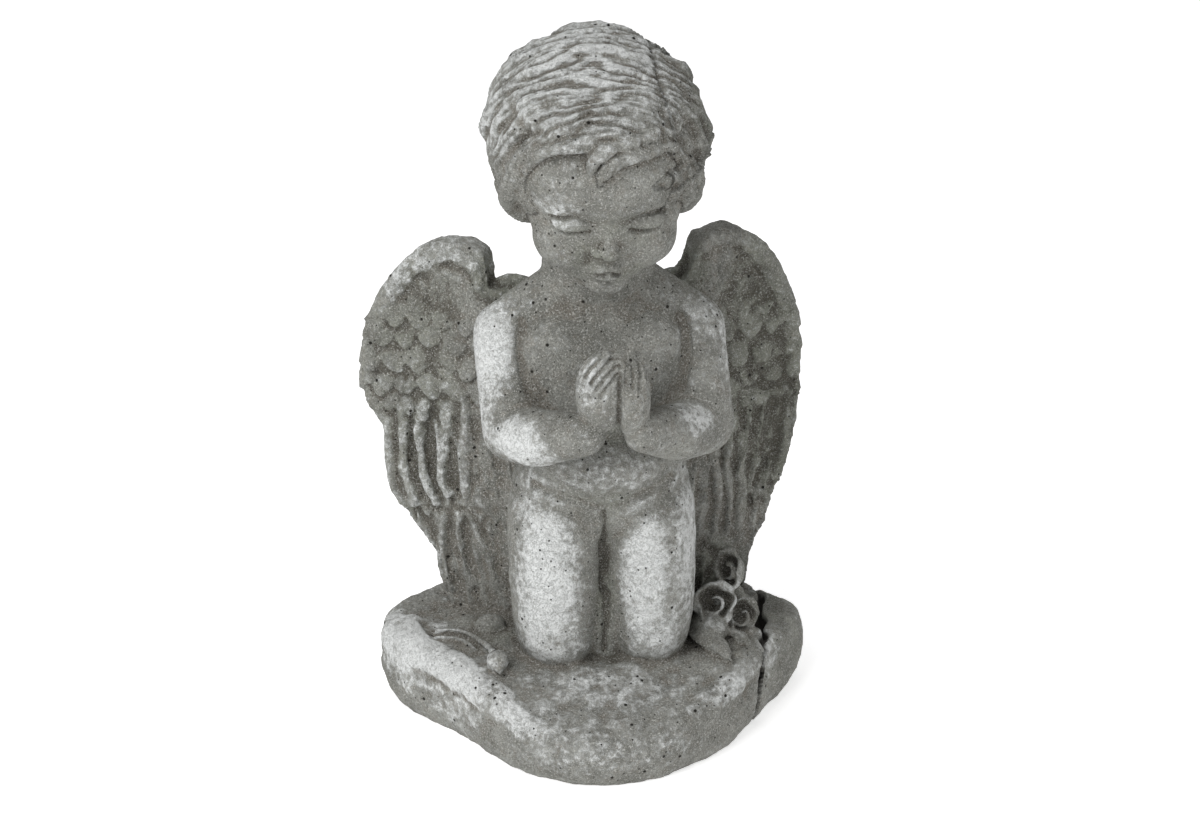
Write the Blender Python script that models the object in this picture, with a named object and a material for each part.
"""A kneeling cherub with folded wings, cast in one with its rock base, in grey concrete.

Metres, +Z up. The origin is on the underside of the base, below the figure. The figure looks
along -Y, and +X is on the right of someone who faces it.
"""

import math

import bmesh
import bpy
import numpy as np
from mathutils import Euler, Matrix, Vector, noise

# Driving dimensions, in metres.
FIGURE_HEIGHT = 0.294  # from the top of the base to the crown of the hair
BASE_WIDTH = 0.200
BASE_DEPTH = 0.152
BASE_HEIGHT = 0.038
BASE_FRONT_HEIGHT = 0.024  # where its top has sloped down to the front tip
WING_REACH = 0.104  # from the middle of the figure to the outer edge of a wing
WING_THICKNESS = 0.013
ROSE_WIDTH = 0.0180
STEM_WIDTH = 0.0036
CRACK_WIDTH = 0.0030
CRACK_DEPTH = 0.0040
CRACK_DROP = 0.0015  # how much lower the base is behind its crack

# How the cast surface is made: the grain of the clay, and the facets left at the end.
CLAY_GRAIN = 0.0013
FACETS = 9900
PLAIN_FACETS = 7300  # outside the hands, the face and the roses
SOFTENING = 5  # smoothing passes over the flesh, before the crisp parts go on
FINISHING = 1  # smoothing passes over the whole

# The figure is drawn on a body 294 units high that stands on the base.
DRAWN_HEIGHT = 294.0
UNIT = FIGURE_HEIGHT / DRAWN_HEIGHT

# The head's own frame: its centre above the base, and how far it is bowed.
HEAD_CENTRE = Vector((-1.8, -9.0, 238.5))
HEAD_BOW = math.radians(21)
HAIR = Vector((48.6, 45.6, 44.8))  # half the width, depth and height of the mass of hair
HAIR_MIDDLE = Vector((0.0, -3.5, 5.0))  # its middle, in the head's frame
PARTING = 24.0  # how far the parting is from the middle, towards +X
FACE_SHIFT = 1.8  # how far the face is from the middle of the hair, towards +X

# A wing's own plane: where it leaves the back, and how far it is swept.
WING_ROOT = Vector((40.0, 25.0))
WING_SWEEP = 0.42  # distance back for each unit outwards
DRAWN_REACH = 104.0

SIDES = (-1, 1)


def on_base(x, y, z):
    """A point of the figure, in units above the base's top, as a place in metres."""
    return Vector((x * UNIT, y * UNIT, BASE_HEIGHT + z * UNIT))


def on_head(x, forward, up):
    """A point in the head's own frame, in units, as a place in metres."""
    back = -forward * math.cos(HEAD_BOW) - up * math.sin(HEAD_BOW)
    rise = -forward * math.sin(HEAD_BOW) + up * math.cos(HEAD_BOW)
    return on_base(HEAD_CENTRE.x + x, HEAD_CENTRE.y + back, HEAD_CENTRE.z + rise)


def on_face(x, forward, up):
    """A point in the head's own frame, across from the middle of the face."""
    return on_head(x + FACE_SHIFT, forward, up)


def on_wing(side, across, up, out=0.0):
    """A point of a wing, in units: across from the middle, up from the base, out to the front."""
    spread = WING_ROOT.x + (across - WING_ROOT.x) * wing_stretch()
    slope = math.hypot(1, WING_SWEEP)
    x = spread + out * WING_SWEEP / slope
    y = WING_ROOT.y + WING_SWEEP * (spread - WING_ROOT.x) - out / slope
    return on_base(side * x, y, up)


def wing_stretch():
    """How much wider than drawn a wing is, outside its root."""
    return (WING_REACH / UNIT - WING_ROOT.x) / (DRAWN_REACH - WING_ROOT.x)


# Clay: closed shapes that are pressed together.


def ball(clay, centre, radii, turn=(0, 0, 0), detail=3):
    """An ellipsoid at a place in metres, with its radii in units."""
    size = Vector(radii) * UNIT
    place = Matrix.LocRotScale(centre, Euler(turn), size)
    bmesh.ops.create_icosphere(clay, subdivisions=detail, radius=1, matrix=place)


def lofted(clay, rings):
    """A closed skin over rings that have equally many points."""
    loops = [[clay.verts.new(point) for point in ring] for ring in rings]
    count = len(loops[0])
    for lower, upper in zip(loops, loops[1:]):
        for i in range(count):
            j = (i + 1) % count
            clay.faces.new((lower[i], lower[j], upper[j], upper[i]))
    clay.faces.new(reversed(loops[0]))
    clay.faces.new(loops[-1])


def upright_ring(x, y, z, half_width, half_depth, corner=2.3, count=32):
    """A level rounded ring of the figure, in units."""
    ring = []
    for i in range(count):
        angle = 2 * math.pi * i / count
        c, s = math.cos(angle), math.sin(angle)
        across = math.copysign(abs(c) ** (2 / corner), c) * half_width
        along = math.copysign(abs(s) ** (2 / corner), s) * half_depth
        ring.append(on_base(x + across, y + along, z))
    return ring


def rod(clay, start, end, start_radius, end_radius, detail=3):
    """A tapered limb with round ends, between two places in metres, with its radii in units."""
    balls = bmesh.new()
    for centre, radius in ((start, start_radius), (end, end_radius)):
        ball(balls, centre, (radius,) * 3, detail=detail)
    hull = bmesh.ops.convex_hull(balls, input=balls.verts)
    inner = [v for v in hull["geom_interior"] if isinstance(v, bmesh.types.BMVert)]
    bmesh.ops.delete(balls, geom=inner, context="VERTS")
    add_mesh(clay, balls)


def add_mesh(clay, other):
    """Adds another bmesh to the clay, and frees it."""
    mesh = bpy.data.meshes.new("added")
    other.to_mesh(mesh)
    other.free()
    clay.from_mesh(mesh)
    bpy.data.meshes.remove(mesh)


def smooth_path(points, steps=6):
    """Points on a smooth curve through the given ones."""
    points = [Vector(p) for p in points]
    ends = [2 * points[0] - points[1], *points, 2 * points[-1] - points[-2]]
    path = []
    for i in range(1, len(ends) - 2):
        before, a, b, after = ends[i - 1 : i + 3]
        for step in range(steps):
            t = step / steps
            path.append(
                0.5
                * (
                    2 * a
                    + (b - before) * t
                    + (2 * before - 5 * a + 4 * b - after) * t**2
                    + (3 * a - before - 3 * b + after) * t**3
                )
            )
    path.append(points[-1])
    return path


def roll(clay, points, radii, sides=2):
    """A roll of clay along places in metres, thick as the radii in units say, from end to end."""
    path = smooth_path(points)
    curve = bpy.data.curves.new("roll", "CURVE")
    curve.dimensions = "3D"
    curve.bevel_depth = UNIT
    curve.bevel_resolution = sides
    curve.use_fill_caps = True
    spline = curve.splines.new("POLY")
    spline.points.add(len(path) - 1)
    at = np.linspace(0, len(radii) - 1, len(path))
    thickness = np.interp(at, range(len(radii)), radii)
    for point, place, radius in zip(spline.points, path, thickness):
        point.co = (*place, 1)
        point.radius = radius
    guide = bpy.data.objects.new("roll", curve)
    bpy.context.collection.objects.link(guide)
    bpy.context.view_layer.update()
    graph = bpy.context.evaluated_depsgraph_get()
    mesh = bpy.data.meshes.new_from_object(guide.evaluated_get(graph))
    clay.from_mesh(mesh)
    bpy.data.objects.remove(guide)
    bpy.data.curves.remove(curve)
    bpy.data.meshes.remove(mesh)


# The flesh: torso, limbs and head.


def add_torso(clay):
    # Height, half width, half depth and middle of each level, from the seat to the neck.
    levels = (
        (54, 30, 22, 0),
        (66, 40, 29, -1),
        (80, 40, 30, -3),
        (95, 37, 29, -5),
        (110, 36, 26, -5),
        (126, 38, 25, -5),
        (142, 40, 24, -4),
        (154, 38, 21, -2),
        (163, 33, 18, 0),
        (170, 25, 16, 0),
        (176, 17, 13, 0),
    )
    lofted(clay, [upright_ring(0, y, z, w, d) for z, w, d, y in levels])
    ball(clay, on_base(0, -11, 96), (33, 28, 20))
    for side in SIDES:
        ball(clay, on_base(side * 19, -12, 145), (18, 13, 19))
        ball(clay, on_base(side * 17, 12, 66), (20, 20, 22))
        rod(clay, on_base(side * 12, 0, 172), on_base(side * 39, 0, 154), 14, 13)
    # Height, half width, half depth and middle of each level of the neck.
    neck = (
        (150, 25, 16, 4),
        (165, 26, 19, 3),
        (178, 25, 19.5, 0),
        (192, 24, 20, -3),
        (206, 24, 20, -6),
    )
    lofted(clay, [upright_ring(-1, y, z, w, d, 2.0) for z, w, d, y in neck])


def add_legs(clay):
    # Height, half width, half depth and middle of each level of a thigh, from the knee to the hip.
    levels = (
        (-8, 11, 14, -14),
        (0, 16, 19, -14.5),
        (7, 18.5, 22.5, -14.5),
        (18, 20.3, 24, -13.5),
        (36, 21.3, 25, -12),
        (56, 21.8, 25, -10),
        (70, 21, 24, -8),
        (82, 18, 20, -5),
    )
    ball(clay, on_base(0, -13, 12), (12, 15, 34))  # the clay between the thighs
    for side in SIDES:
        x = side * 21.2
        lofted(clay, [upright_ring(x, y, z, w, d, 2.1) for z, w, d, y in levels])
        rod(clay, on_base(x, -6, 14), on_base(side * 19, 44, 11), 18, 12)
        ball(clay, on_base(side * 19, 55, 8), (11, 15, 9), turn=(0.35, 0, 0))
        for toe in range(5):
            ball(clay, on_base(side * (11 + toe * 4), 66 - toe, 4), (2.6, 4, 4))


def add_arms(clay):
    for side in SIDES:
        out = 42 + 2 * side  # the +X elbow stands out a little more
        shoulder = on_base(side * 40.5, 0, 149)
        elbow = on_base(side * out, -19, 111)
        middle = on_base(side * 32, -35, 114)
        wrist = on_base(side * 13 + 1, -54, 123)
        rod(clay, shoulder, elbow, 16, 14.5)
        rod(clay, elbow, middle, 14.5, 13)
        rod(clay, middle, wrist, 13, 9.5)


# The flesh of the joined hands: middles and radii, in units.
HAND_MASSES = (
    ((-4.8, -55, 143), (11.6, 10.2, 18.6)),
    ((8.6, -56, 140), (8.0, 9.4, 19)),
    ((4.6, -55, 152), (7.6, 8.2, 11)),
)

# Across and up along each finger: those of the -X hand, which curl over the other's, and then those.
FINGERS = (
    ((-13.6, 150), (-10.6, 156.4), (-6.2, 160.4), (-1, 162.2)),
    ((-10.4, 149), (-7.2, 154.6), (-3.4, 158.2), (1.2, 160.2)),
    ((-7.6, 146), (-4.6, 151), (-1.2, 154.6), (1.8, 156.4)),
    ((-5.4, 142), (-2.6, 146.8), (1.0, 150.8)),
    ((5.0, 148.4), (5.2, 153), (5.8, 158)),
    ((8.8, 147.6), (9.2, 153), (8.8, 158)),
    ((12.4, 147), (12.4, 152), (11, 157.4)),
)
FINGER_RADIUS = 1.9
FINGER_PROUD = 1.9  # how far a finger stands out of the flesh


def hand_front(x, z):
    """How far forward the flesh of the hands comes there, in units."""
    front = -54
    for (mx, my, mz), (rx, ry, rz) in HAND_MASSES:
        off = ((x - mx) / rx) ** 2 + ((z - mz) / rz) ** 2
        if off < 1:
            front = min(front, my - ry * math.sqrt(1 - off))
    return front


def add_hands(clay):
    """Two hands laid together. The fingers of the -X hand curl over the tips of the other's."""
    for middle, radii in HAND_MASSES:
        ball(clay, on_base(*middle), radii)
    sunk = FINGER_RADIUS - FINGER_PROUD
    tip = FINGER_RADIUS * 0.8
    for finger in FINGERS:
        path = [on_base(x, hand_front(x, z) + sunk, z) for x, z in finger]
        roll(clay, path, (tip, FINGER_RADIUS, FINGER_RADIUS, tip), sides=3)
    rod(clay, on_base(8, -46, 134), on_base(6, -48, 153), 4.2, 3)


def add_face(clay):
    """A plain round infant's face: widest at the cheeks, with the eyes a little below half its height."""
    ball(clay, on_head(0, -2, 4), (43, 44, 42))
    ball(clay, on_head(0, 15, 6), (37.5, 31, 32))
    ball(clay, on_face(0, 14, -15), (34.5, 31, 32))
    ball(clay, on_face(0, 25, -34), (25, 18.5, 16))
    ball(clay, on_face(0, 33.5, -44), (10.5, 9.5, 8.5))
    for side in SIDES:
        ball(clay, on_face(side * 15.5, 25, -26), (17.8, 17.5, 16.5))
        ball(clay, on_face(side * 36, 4, -12), (4.5, 8.5, 11), turn=(-HEAD_BOW, 0, 0))


def add_features(clay):
    """Lowered eyelids, nose and lips, on even infant proportions."""
    rod(clay, on_face(0, 43.4, -10), on_face(0, 46.2, -18), 2.4, 3.8)
    ball(clay, on_face(0, 48.0, -19.4), (3.9, 3.3, 3.3))
    lips = ((-31.2, 44.2, 1.2, 2.3), (-35.2, 43.4, 1.2, 2.6))
    for up, forward, corner, thick in lips:
        path = [on_face(x, forward - 0.07 * x * x, up) for x in (-6.5, -3.3, 0, 3.3, 6.5)]
        roll(clay, path, (corner, thick, thick, thick, corner), sides=3)
    for side in SIDES:
        ball(clay, on_face(side * 4.6, 44.0, -20.4), (3.2, 3.2, 2.8))
        ball(clay, on_face(side * 16, 35.2, -9), (8.8, 7.2, 6.0))
        ridge = ((6, -0.5), (15, 2.4), (26, -1))
        brow = [on_face(side * x, 45.2 - 0.022 * x * x, up) for x, up in ridge]
        roll(clay, brow, (1.0, 2.2, 1.0), sides=3)


def on_hair(across, forward, up, share):
    """A place in the direction of these three from the middle of the hair, at a share of its depth."""
    way = Vector((across, forward, up))
    reach = math.sqrt(sum((w / h) ** 2 for w, h in zip(way, HAIR)))
    return on_head(*(HAIR_MIDDLE + way / reach * share))


def swept(front, start, end, wave, phase, steps=9):
    """A lock that runs round the head in waves, from its first to its last angle from the top.

    It starts this far forward, and falls back towards its end. Angles are in degrees, towards +X.
    """
    fall_back = 9
    waves = 1.2
    path = []
    for i in range(steps + 1):
        t = i / steps
        angle = math.radians(start + (end - start) * t)
        along = front - fall_back * t * t + wave * math.sin(math.tau * waves * t + phase)
        reach = math.sqrt(max(1 - (along / HAIR.y) ** 2, 0.02))
        across = HAIR.x * reach * math.sin(angle)
        rise = HAIR.z * reach * math.cos(angle)
        path.append(on_head(*(HAIR_MIDDLE + Vector((across, along, rise)))))
    return path


# Locks over the forehead and beside the cheeks, in the head's frame, and their radii.
FRINGE = (
    (
        ((30, 34, 19), (18, 38.5, 26), (6, 40.5, 27.5), (-3, 42.5, 24), (-6.5, 43.5, 18.5)),
        (3.4, 4.4, 4.2, 3.2, 1.6),
    ),
    (
        ((24, 33, 31), (8, 36.5, 34), (-5, 38, 32), (-11, 39.5, 27), (-12.6, 41, 22)),
        (4.2, 5.2, 5.0, 3.8, 1.6),
    ),
    (
        ((-4, 37, 37), (-17, 35.5, 33), (-26, 32, 28), (-33, 29, 18), (-38, 20, -8)),
        (2.8, 3.8, 4, 3.8, 1.8),
    ),
    (
        ((-36, 28, 12), (-39, 23, 0), (-39.5, 18, -12), (-37, 13, -22), (-33, 10, -29)),
        (3.0, 4.2, 4.2, 3.6, 1.6),
    ),
    (
        ((29, 36, 22), (33, 33, 13), (35, 30, 2), (36, 26, -8), (36.5, 20, -18)),
        (2.8, 3.6, 3.8, 3.2, 1.6),
    ),
    (
        ((36, 27, 12), (39.5, 22, -1), (40.5, 17, -13), (38.5, 12, -23), (35, 9, -31)),
        (3.2, 4.4, 4.6, 3.8, 1.6),
    ),
)


def add_hair(clay):
    """A cap of hair with a side parting, from which wavy locks fall to both sides."""
    thin = 1.8  # how much lower the cap is than the middle of the locks on it
    ball(clay, on_head(*HAIR_MIDDLE), HAIR - Vector((thin, thin, thin)), turn=(HEAD_BOW, 0, 0))
    for side in SIDES:
        ball(clay, on_head(side * 31, -8, -11), (14.5, 23, 25), turn=(HEAD_BOW, 0, 0))
    ball(clay, on_head(0, -18, -18), (33, 20, 22), turn=(HEAD_BOW, 0, 0))
    for i in range(11):
        front = 36 - 7.1 * i
        edge = math.degrees(math.asin(PARTING / HAIR.x / math.sqrt(1 - (front / HAIR.y) ** 2)))
        lock = swept(front, edge - 4, -106 + 2 * i, 2.4, 0.8 * i)
        roll(clay, lock, (1.4, 3.4, 3.9, 3.6, 4.0, 3.6, 1.6), sides=3)
        if i > 0:
            lock = swept(front, edge + 8, 118, 2.2, 1.1 * i)
            roll(clay, lock, (1.6, 3.6, 4.0, 3.8, 1.8), sides=3)
    for path, radii in FRINGE:
        roll(clay, [on_head(*p) for p in path], radii, sides=3)
    for i in range(4):  # ends that curl round the ears
        for side in SIDES:
            f = 10 - 9 * i
            low = -25 - 4 * i
            closer = 3 if side < 0 else 0  # the -X ones hug the head
            curl = (
                (40 - i, f, -2),
                (41.5 - i - closer, f - 5, -13),
                (37 - i - closer, f - 7, low),
                (29, f - 6, low - 6),
            )
            roll(clay, [on_head(side * x, y, z) for x, y, z in curl], (3.0, 4.4, 4.2, 1.4), sides=3)
    back_locks = 15
    for i in range(back_locks):  # waves down the back of the head to the nape
        path = []
        for step in range(6):
            t = step / 5
            turn = math.radians(112 + 136 * i / (back_locks - 1) + 5 * math.sin(4.4 * t + 1.3 * i))
            rise = math.radians(44 - 100 * t)
            way = (math.sin(turn) * math.cos(rise), math.cos(turn) * math.cos(rise), math.sin(rise))
            path.append(on_hair(*way, 0.96))
        roll(clay, path, (2.0, 4.2, 4.6, 4.4, 2.0), sides=3)


# The wings.

# Each wing's outline, across and up, in units: along the top, down the stepped outer edge, and
# back along the base. The -X wing has a blunt broken top corner, and the +X wing a sharp one.
WING_OUTLINES = {
    -1: (
        (12, 161), (47, 162), (48, 173), (50, 179), (55, 182), (63, 183), (73, 181), (82, 175),
        (90, 166), (96, 154), (100.5, 139), (103, 122), (103, 108), (100, 98), (94, 88), (91.5, 79),
        (91.5, 66), (88.5, 53), (82.5, 42), (75, 31), (70.5, 26), (69, 16), (66.5, 6), (63, -8),
        (12, -8),
    ),
    1: (
        (12, 161), (37, 162), (46, 169), (50.5, 178), (53, 184), (59, 185.5), (64, 184), (69, 180.5),
        (74, 174), (79.5, 165), (85.5, 153), (90.5, 139), (94, 123), (95.5, 106), (95.5, 90),
        (94, 74), (92, 61), (86.5, 51), (83.5, 42), (81, 33), (76, 26), (73.5, 16), (72, 6),
        (70, -8), (12, -8),
    ),
}

# The raised rim of a wing along the top and down the outer edge: across, up and half its thickness.
WING_RIM = (
    (55, 177, 5.0), (61, 177.5, 6.2), (67, 174, 6.8), (75, 166, 6.8), (82, 155, 6.6),
    (87.5, 141, 6.2), (91, 125, 5.6), (91.5, 108, 4.8), (88.5, 92, 3.4),
)

# A row of feathers: its first and last root, its first and last tip (across, up), how many there
# are, half the width of one, and how far it stands out.
FEATHER_ROWS = (
    ((55, 148), (85, 145), (54, 128), (87, 124), 4, 5.4, 2.8),
    ((51, 132), (91, 128), (51, 104), (95, 100), 5, 5.3, 3.2),
    ((47, 112), (94, 106), (46, 68), (88, 74), 6, 4.8, 3.2),
    ((44, 82), (88, 84), (45, 34), (78, 34), 6, 4.4, 3.2),
    ((43, 50), (73, 42), (44, 2), (67, 8), 4, 4.4, 3.0),
)


def add_wing(clay, side):
    half = WING_THICKNESS / UNIT / 2
    outline = WING_OUTLINES[side]
    rings = [[on_wing(side, across, up, out) for across, up in outline] for out in (-half, half - 2)]
    if side < 0:
        rings.reverse()
    lofted(clay, rings)
    rim = [on_wing(side, across, up, half - 2.6) for across, up, _ in WING_RIM]
    roll(clay, rim, [thick for _, _, thick in WING_RIM], sides=3)
    for first_root, last_root, first_tip, last_tip, count, half_width, proud in FEATHER_ROWS:
        for i in range(count):
            t = i / (count - 1)
            root = Vector(first_root).lerp(Vector(last_root), t)
            tip = Vector(first_tip).lerp(Vector(last_tip), t)
            add_feather(clay, side, root, tip, half_width, half - 2, proud)
            add_feather(clay, side, root, tip, half_width, -half, -proud / 2)


def add_feather(clay, side, root, tip, half_width, out, proud):
    """A long low lens of clay that rises towards its tip and stands proud of the wing."""
    start = on_wing(side, *root, out - proud * 0.5)
    end = on_wing(side, *tip, out + proud * 0.4)
    length = (end - start).length / UNIT / 2 + half_width / 2
    along = (end - start).normalized()
    face = on_wing(side, 60, 60, 1) - on_wing(side, 60, 60)
    across = face.cross(along).normalized()
    turn = Matrix((across, along, across.cross(along))).transposed()
    ball(clay, (start + end) / 2, (half_width, length, abs(proud) + 1), turn.to_euler())


def add_web(clay, side):
    """The thick of the casting between the back, the legs and the wing."""
    rod(clay, on_wing(side, 22, 80, 2), on_wing(side, 27, 148, 2), 9, 11)
    rod(clay, on_wing(side, 26, 0, 4), on_wing(side, 26, 76, 4), 11, 10)
    ball(clay, on_wing(side, 36, 132, -3), (24, 8, 36), turn=(0, 0, side * math.atan(WING_SWEEP)))


# The base and what lies on it.

# The base's outline, as shares of half its width and half its depth, from the front tip round by +X.
BASE_OUTLINE = (
    (-0.12, -1.00),
    (0.14, -0.99),
    (0.36, -0.84),
    (0.55, -0.62),
    (0.75, -0.25),
    (0.92, 0.10),
    (0.985, 0.36),
    (0.91, 0.58),
    (0.68, 0.80),
    (0.36, 0.95),
    (0.00, 1.00),
    (-0.40, 0.97),
    (-0.76, 0.84),
    (-0.97, 0.58),
    (-1.00, 0.30),
    (-0.92, 0.04),
    (-0.74, -0.24),
    (-0.55, -0.60),
    (-0.36, -0.88),
)
BASE_MIDDLE_Y = -0.0065  # the outline's middle, in front of the figure's
SLOPE_START_Y = -0.034  # the top slopes down from here to the front tip

# The base's side, as shares of its outline and of the top's height, from the underside to the top.
BASE_PROFILE = (
    (0.900, -0.20),
    (0.935, 0.00),
    (0.972, 0.15),
    (0.995, 0.36),
    (1.000, 0.56),
    (0.995, 0.75),
    (0.978, 0.89),
    (0.952, 0.97),
    (0.915, 1.00),
    (0.850, 0.995),
    (0.700, 0.98),
    (0.400, 0.98),
)

# The worn rims on the base's top: radius, height above the top, and shares of the outline along them.
BASE_RIMS = (
    (8.5, 1.8, ((-0.88, 0.44), (-0.87, 0.34), (-0.81, 0.04), (-0.66, -0.24), (-0.49, -0.56), (-0.3, -0.8))),
    (7.0, 1.4, ((0.30, -0.76), (0.36, -0.72), (0.52, -0.53), (0.66, -0.28), (0.72, -0.16))),
)


def base_outline():
    points = [Vector((x, y, 0)) for x, y in BASE_OUTLINE]
    closed = points[-2:] + points + points[:2]
    steps = 4
    return smooth_path(closed, steps)[2 * steps : -2 * steps - 1 + steps]


def top_height(y):
    """How high the base's top is at a distance along the figure's depth, in metres."""
    tip_y = BASE_MIDDLE_Y - BASE_DEPTH / 2
    t = min(max((SLOPE_START_Y - y) / (SLOPE_START_Y - tip_y), 0), 1)
    return BASE_HEIGHT + (BASE_FRONT_HEIGHT - BASE_HEIGHT) * t


def add_base(clay):
    outline = base_outline()
    rings = []
    for share, height in BASE_PROFILE:
        ring = []
        for p in outline:
            x = p.x * share * BASE_WIDTH / 2
            y = BASE_MIDDLE_Y + p.y * share * BASE_DEPTH / 2
            ring.append(Vector((x, y, height * top_height(y))))
        rings.append(ring)
    lofted(clay, rings)
    for radius, proud, shares in BASE_RIMS:
        path = []
        for across, along in shares:
            y = BASE_MIDDLE_Y + along * BASE_DEPTH / 2
            path.append(Vector((across * BASE_WIDTH / 2, y, top_height(y) + (proud - radius) * UNIT)))
        roll(clay, path, (radius * 0.7, radius, radius, radius * 0.7), sides=5)


def add_rose(clay, centre, facing, size):
    """A full-blown rose: a deep cup with a rolled wavy rim, and a curled petal inside it."""
    across = facing.orthogonal().normalized()
    other = facing.cross(across)
    radius = ROSE_WIDTH / 2 * size

    def place(angle, reach, lift):
        way = across * math.cos(angle) + other * math.sin(angle)
        return centre + (way * reach + facing * lift) * radius

    # Reach and lift of each ring, as shares of the radius: up the outside, over the rim, down inside.
    profile = (
        (0.3, -1.3),
        (0.75, -0.85),
        (0.97, -0.15),
        (1.0, 0.25),
        (0.88, 0.42),
        (0.72, 0.22),
        (0.55, -0.2),
        (0.2, -0.3),
    )
    rings = []
    for reach, lift in profile:
        ring = []
        for i in range(20):
            angle = math.tau * i / 20
            wave = 1 + 0.07 * math.sin(3 * angle + 1) * reach
            ring.append(place(angle, reach * wave, lift))
        rings.append(ring)
    lofted(clay, rings)
    petal = [place(math.tau * i / 8, 0.42 - 0.02 * i, 0.12) for i in range(7)]
    roll(clay, petal, (1.1 * size, 1.5 * size, 1.1 * size), sides=3)


def add_flowers(clay):
    """Three roses with leaves beside the +X thigh, and a bud on its stem on the other side."""
    ball(clay, on_base(58, 9, 2), (13, 14, 17))
    ball(clay, on_base(66, 8, 0), (10, 14, 9))
    add_rose(clay, on_base(53, -6, 13.5), Vector((-0.10, -0.85, 0.52)).normalized(), 1.0)
    add_rose(clay, on_base(61, 4, 25.5), Vector((-0.45, -0.75, 0.50)).normalized(), 0.95)
    add_rose(clay, on_base(66, -5, 5), Vector((0.25, -0.80, 0.55)).normalized(), 0.92)
    ball(clay, on_base(53, -28, 1.5), (3.6, 12, 3.2), turn=(0.25, 0, 0.2))
    ball(clay, on_base(46, -14, 3), (5, 10, 3.6), turn=(0.5, 0.2, -0.5))
    stem = STEM_WIDTH / 2 / UNIT
    stem_path = ((-70, 4, 0.9), (-62, 5, 1.2), (-54, 1, 1.4), (-50.5, -8, 1.6), (-50, -16, 2))
    roll(clay, [on_base(*p) for p in stem_path], (stem * 0.6, stem, stem, stem))
    leaf = ((-76, -6, 0.4), (-66, -5, 0.7), (-58, -8, 0.8), (-53, -14, 0.8))
    roll(clay, [on_base(*p) for p in leaf], (stem * 0.5, stem * 0.7, stem * 0.5))
    rod(clay, on_base(-49.5, -21, 2.8), on_base(-49.0, -29, 2.2), 4.2, 1.8)
    ball(clay, on_base(-50, 9, 0), (7, 6, 5))


# Carving: moves of the surface, after the clay is one skin.


def reach_of(points, centre, radii):
    """How strongly each point is touched by a soft round tool: 1 at its centre, 0 outside it."""
    away = (points - np.array(centre)) / (np.array(radii) * UNIT)
    return np.clip(1 - (away**2).sum(1), 0, 1) ** 2


def press(points, centre, radii, push):
    """Moves the surface with a soft round tool, by a push in units."""
    points += reach_of(points, centre, radii)[:, None] * np.array(push) * UNIT


def score(points, normals, path, width, depth):
    """Cuts a groove along places in metres. Width and depth are in metres too."""
    path = np.array([tuple(p) for p in path])
    nearest = np.full(len(points), np.inf)
    for a, b in zip(path, path[1:]):
        along = b - a
        t = np.clip((points - a) @ along / max(along @ along, 1e-12), 0, 1)
        gap = points - (a + t[:, None] * along)
        nearest = np.minimum(nearest, np.sqrt((gap**2).sum(1)))
    cut = np.clip(1 - (nearest / width) ** 2, 0, 1)
    points -= normals * (cut * depth)[:, None]


def crack_path():
    """The break in the base: from under the roses, over the top and down its +X side."""
    drawn = (
        (0.74, 0.80, 1.0),
        (0.77, 0.70, 1.0),
        (0.80, 0.46, 1.0),
        (0.76, 0.22, 1.0),
        (0.73, 0.04, 1.0),
        (0.73, -0.17, 0.98),
        (0.76, -0.24, 0.8),
        (0.78, -0.25, 0.5),
        (0.71, -0.29, 0.0),
    )
    places = []
    for across, along, height in drawn:
        y = BASE_MIDDLE_Y + along * BASE_DEPTH / 2
        places.append(Vector((across * BASE_WIDTH / 2, y, height * BASE_HEIGHT)))
    return smooth_path(places)


def carve(points, normals):
    ahead = Vector((0, math.cos(HEAD_BOW), math.sin(HEAD_BOW)))
    for side in SIDES:
        drawn = ((9, -10.4), (16, -12.4), (23, -10.4))
        lid = [on_face(side * x, 45.5 - 0.02 * x * x, up) for x, up in drawn]
        score(points, normals, smooth_path(lid), 1.9 * UNIT, 1.3 * UNIT)
        press(points, on_face(side * 8, 45, -5.5), (6, 9, 6.5), ahead * 2.6)
        press(points, on_face(side * 16, 45, -1.5), (11, 9, 3.6), ahead * 1.6)
        press(points, on_face(side * 38.5, 4, -10), (4, 5, 7), (-side * 2.5, 0, 0))
    seam = [on_face(-6.6, 43.5, -33.2), on_face(0, 47.5, -32.6), on_face(6.6, 43.5, -33.2)]
    score(points, normals, smooth_path(seam), 1.8 * UNIT, 1.6 * UNIT)
    press(points, on_face(0, 44, -39.4), (7, 6, 2.6), ahead * 1.6)
    for side in SIDES:  # the folds between arm and chest
        drawn = ((35.5, -16, 161), (37, -18, 148), (35, -22, 130))
        fold = [on_base(side * x, y, z) for x, y, z in drawn]
        score(points, normals, smooth_path(fold), 3.2 * UNIT, 3.0 * UNIT)
    palms = [on_base(2, hand_front(2, z), z) for z in (120, 130, 140, 152)]
    score(points, normals, smooth_path(palms), 2.2 * UNIT, 2.2 * UNIT)
    drawn = ((-33, -28, 87), (-17, -34, 80), (-2, -36, 75.5), (14, -34, 80), (31, -28, 87))
    belly_fold = [on_base(*p) for p in drawn]
    score(points, normals, smooth_path(belly_fold), 4.2 * UNIT, 3.0 * UNIT)
    thighs = [on_base(0, -30, 0), on_base(0, -34, 30), on_base(0, -36, 72)]
    score(points, normals, smooth_path(thighs), 3.6 * UNIT, 4.0 * UNIT)
    score(points, normals, crack_path(), CRACK_WIDTH, CRACK_DEPTH)
    sink_lobe(points)


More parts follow.
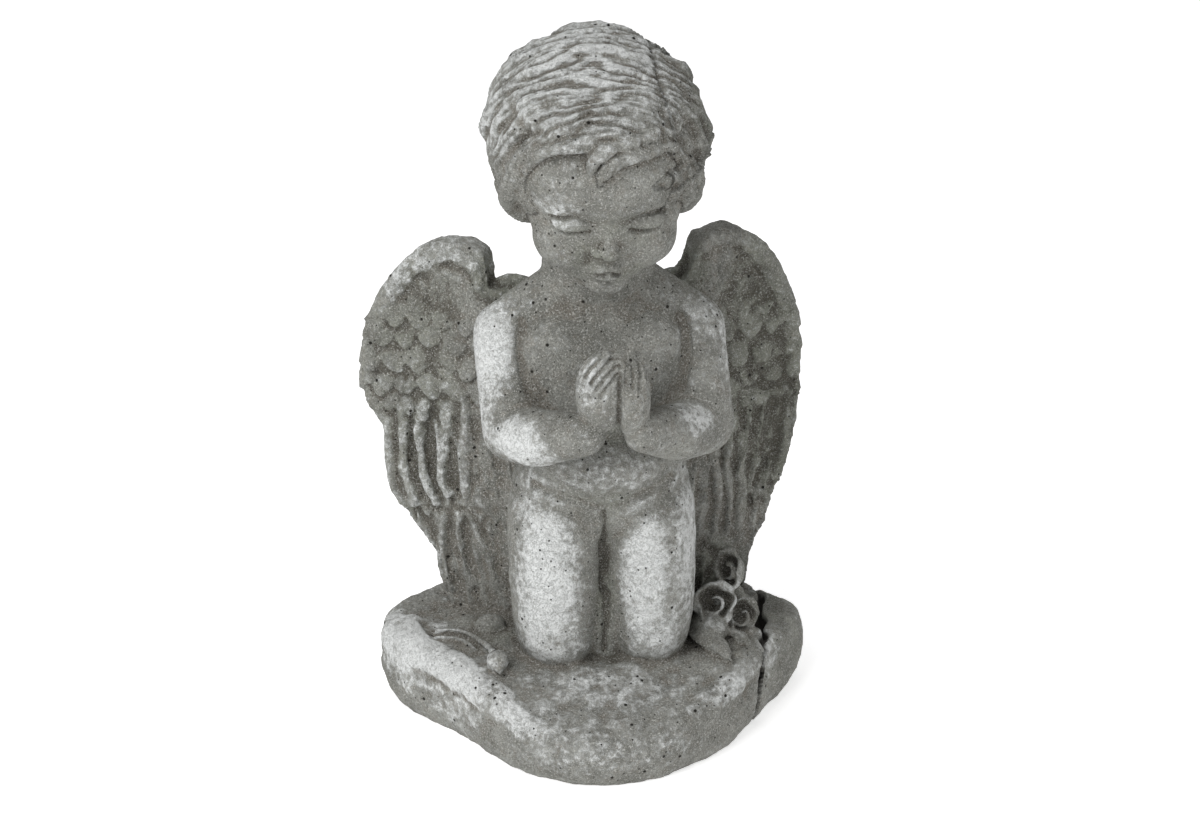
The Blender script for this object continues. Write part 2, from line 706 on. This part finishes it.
def sink_lobe(points):
    """Sets the piece of the base behind the crack a little lower than the rest."""
    start, end = crack_path()[0], crack_path()[-1]
    along = np.array((end - start)[:2])
    beyond = along[0] * (points[:, 1] - start.y) - along[1] * (points[:, 0] - start.x)
    beyond = np.clip(beyond / np.hypot(*along) / CRACK_WIDTH, 0, 1)
    on_lobe = beyond * (points[:, 0] > 0) * (points[:, 2] < BASE_HEIGHT * 1.05)
    points[:, 2] -= on_lobe * CRACK_DROP * np.clip(points[:, 2] / BASE_HEIGHT, 0, 1)


def weather(points, normals):
    """The unevenness of a rough casting, stronger on the base."""
    wavelength = 26 * UNIT
    on_figure, on_rock = 0.5 * UNIT, 1.6 * UNIT
    for i, (point, normal) in enumerate(zip(points, normals)):
        low = 1 - min(max(point[2] / BASE_HEIGHT, 0), 1)
        swell = on_figure + (on_rock - on_figure) * low
        points[i] = point + normal * noise.noise(Vector(point) / wavelength) * swell


# Making one solid of the clay.


def clay_object(name, *makers):
    clay = bmesh.new()
    for make in makers:
        make(clay)
    mesh = bpy.data.meshes.new(name)
    clay.to_mesh(mesh)
    clay.free()
    obj = bpy.data.objects.new(name, mesh)
    bpy.context.collection.objects.link(obj)
    return obj


def knead(obj, grain, smoothing):
    """Fuses the clay of an object into one skin, and smooths it."""
    fuse = obj.modifiers.new("fuse", "REMESH")
    fuse.mode = "VOXEL"
    fuse.voxel_size = grain
    if smoothing:
        smooth = obj.modifiers.new("smooth", "SMOOTH")
        smooth.factor = 0.5
        smooth.iterations = smoothing
    settle(obj)


def settle(obj):
    """Applies an object's modifiers."""
    graph = bpy.context.evaluated_depsgraph_get()
    mesh = bpy.data.meshes.new_from_object(obj.evaluated_get(graph))
    old = obj.data
    obj.modifiers.clear()
    obj.data = mesh
    bpy.data.meshes.remove(old)


def join(target, *others):
    """Adds other objects' meshes to the target's, and removes them."""
    clay = bmesh.new()
    for obj in (target, *others):
        clay.from_mesh(obj.data)
    clay.to_mesh(target.data)
    clay.free()
    for obj in others:
        bpy.data.objects.remove(obj)


def sculpt(obj):
    """Carves the skin of an object, point by point."""
    mesh = obj.data
    points = np.empty(len(mesh.vertices) * 3)
    mesh.vertices.foreach_get("co", points)
    points = points.reshape(-1, 3)
    normals = np.array([v.normal[:] for v in mesh.vertices])
    carve(points, normals)
    weather(points, normals)
    mesh.vertices.foreach_set("co", points.ravel())
    mesh.update()


def thin_out(obj):
    """Leaves triangular facets of uneven size: small ones where the carving is fine."""
    # The middle, the reach and the facets of each fine place: hands, face and roses.
    fine_places = (
        (on_base(2, -58, 146), 20 * UNIT, 1500),
        (on_head(0, 44, -20), 30 * UNIT, 1000),
        (on_base(60, -3, 14), 19 * UNIT, 700),
    )

    def zone(vertex):
        for number, (place, reach, _) in enumerate(fine_places):
            if (vertex.co - place).length < reach:
                return number
        return len(fine_places)

    facets_of = [facets for _, _, facets in fine_places] + [PLAIN_FACETS]
    for number, facets in enumerate(facets_of):
        chosen = [vertex.index for vertex in obj.data.vertices if zone(vertex) == number]
        inside = set(chosen)
        current = sum(inside.issuperset(p.vertices) * (len(p.vertices) - 2) for p in obj.data.polygons)
        collapse(obj, facets_left(obj) - current + facets, chosen)
    collapse(obj, FACETS, range(len(obj.data.vertices)))


def facets_left(obj):
    return sum(len(p.vertices) - 2 for p in obj.data.polygons)


def collapse(obj, facets, chosen):
    """Thins an object out to this many facets, by the chosen vertices only."""
    group = obj.vertex_groups.new(name="chosen")
    group.add(list(chosen), 1, "REPLACE")
    fewer = obj.modifiers.new("fewer", "DECIMATE")
    fewer.ratio = min(1, facets / facets_left(obj))
    fewer.vertex_group = group.name
    fewer.use_collapse_triangulate = True
    settle(obj)
    obj.vertex_groups.clear()


def cut_flat(obj):
    """Cuts the casting off level at the ground, and closes its underside."""
    body = bmesh.new()
    body.from_mesh(obj.data)
    everything = body.verts[:] + body.edges[:] + body.faces[:]
    cut = bmesh.ops.bisect_plane(
        body, geom=everything, dist=1e-5, plane_co=(0, 0, 0), plane_no=(0, 0, 1), clear_inner=True
    )
    rim = [e for e in cut["geom_cut"] if isinstance(e, bmesh.types.BMEdge)]
    bmesh.ops.triangle_fill(body, edges=rim, normal=(0, 0, -1), use_beauty=True)
    bmesh.ops.recalc_face_normals(body, faces=body.faces)
    body.to_mesh(obj.data)
    body.free()


def concrete():
    material = bpy.data.materials.new("cast_concrete")
    material.use_nodes = True
    shader = material.node_tree.nodes["Principled BSDF"]
    shader.inputs["Base Color"].default_value = (0.40, 0.385, 0.34, 1)
    shader.inputs["Roughness"].default_value = 0.92
    shader.inputs["Metallic"].default_value = 0.0
    return material


def main():
    for obj in list(bpy.data.objects):
        bpy.data.objects.remove(obj)
    flesh = clay_object("flesh", add_torso, add_legs, add_arms, add_face)
    knead(flesh, CLAY_GRAIN, SOFTENING)
    crisp = clay_object(
        "crisp",
        add_features,
        add_hands,
        add_hair,
        *(lambda clay, side=side: add_wing(clay, side) for side in SIDES),
        *(lambda clay, side=side: add_web(clay, side) for side in SIDES),
        add_base,
        add_flowers,
    )
    join(flesh, crisp)
    knead(flesh, CLAY_GRAIN, FINISHING)
    sculpt(flesh)
    thin_out(flesh)
    cut_flat(flesh)
    flesh.name = "angel"
    flesh.data.name = "angel"
    flesh.data.materials.clear()
    flesh.data.materials.append(concrete())
    flesh.data.shade_smooth()


main()
